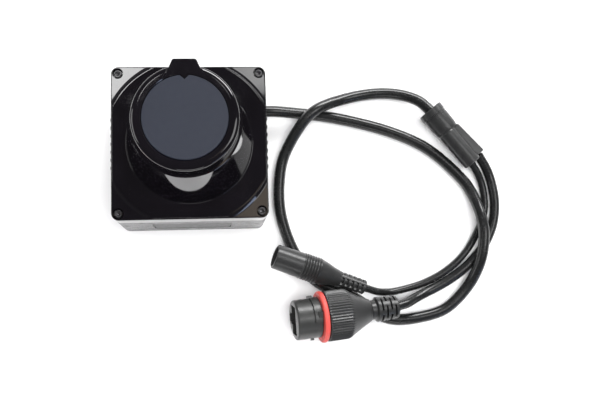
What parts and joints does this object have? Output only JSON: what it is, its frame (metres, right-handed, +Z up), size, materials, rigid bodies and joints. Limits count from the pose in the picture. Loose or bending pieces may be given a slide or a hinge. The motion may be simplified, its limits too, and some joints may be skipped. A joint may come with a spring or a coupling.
{
  "type": "lidar scanner module",
  "caption": "Square black scanning lidar with a tapered dark window turret, and a lead that splits into a round Ethernet socket and a barrel power jack.",
  "frame": {"origin": "centre of the housing's underside, on the surface that it stands on", "axes": "+Z up along the rotor axis, +X towards the wall that the lead leaves by, -Y towards the front wall with the label plate"},
  "size_m": [0.2202, 0.1478, 0.1133],
  "materials": {
    "cast_black": "semi-gloss black paint on cast aluminium",
    "ir_window": "polished near-black infrared window",
    "slate_disc": "fine matte slate",
    "black_steel": "black oxide",
    "label": "blank grey label",
    "black_rubber": "matte",
    "cable_jacket": "satin jacket",
    "moulded_black": "fine spark texture",
    "red_seal": "matte silicone",
    "circuit_board": "solder mask",
    "bare_aluminium": "turned",
    "bright_steel": "ground",
    "copper_winding": "enamelled wire",
    "lens_glass": "polished",
    "front_mirror": "front surface coating",
    "contact_gold": "plated",
    "flex_film": "polyimide film"
  },
  "bodies": {
    "housing": {"base_housing": "cast_black", "bottom_plate": "cast_black", "bottom_gasket": "black_rubber", "cover_gasket": "black_rubber", "window_cover": "ir_window", "top_disc": "slate_disc", "label_plate": "label", "cable_grommet": "black_rubber", "bottom_screw_1": "black_steel", "bottom_screw_2": "black_steel", "bottom_screw_3": "black_steel", "bottom_screw_4": "black_steel", "cover_screw_1": "black_steel", "cover_screw_2": "black_steel", "cover_screw_3": "black_steel", "cover_screw_4": "black_steel", "main_board": "circuit_board", "board_screw_1": "bright_steel", "board_screw_2": "bright_steel", "board_screw_3": "bright_steel", "board_screw_4": "bright_steel", "cable_header": "moulded_black", "encoder_sensor": "moulded_black", "flex_lead": "flex_film", "motor_base": "bare_aluminium", "stator_winding": "copper_winding", "lower_bearing_outer": "bright_steel", "upper_bearing_outer": "bright_steel", "optics_holder": "moulded_black", "receive_lens": "lens_glass", "laser_tube": "bare_aluminium", "detector_board": "circuit_board", "main_cable": "cable_jacket", "power_cable": "cable_jacket", "ethernet_cable": "cable_jacket", "cable_splitter": "moulded_black", "power_jack_shell": "moulded_black", "power_jack_insert": "moulded_black", "power_pin": "bright_steel", "ethernet_socket": "moulded_black", "ethernet_contacts": "contact_gold", "seal_ring": "red_seal", "coupling_grip": "moulded_black", "ethernet_boot": "black_rubber"},
    "rotor": {"motor_shaft": "bright_steel", "motor_rotor": "bright_steel", "encoder_disc": "bright_steel", "lower_bearing_inner": "bright_steel", "upper_bearing_inner": "bright_steel", "mirror_hub": "bare_aluminium", "scan_mirror": "front_mirror", "balance_weight": "bright_steel"},
    "ball_cages": {"lower_ball_cage": "bright_steel", "upper_ball_cage": "bright_steel"}
  },
  "joints": [
    {"name": "rotor_spin", "type": "hinge", "parent": "housing", "child": "rotor", "pos_m": [0, 0, 0.05], "axis": [0, 0, 1], "continuous": true},
    {"name": "cage_roll", "type": "hinge", "parent": "housing", "child": "ball_cages", "pos_m": [0, 0, 0.035], "axis": [0, 0, 1], "continuous": true}
  ],
  "couplings": [
    {"joint": "cage_roll", "follows": "rotor_spin", "ratio": 0.391}
  ]
}
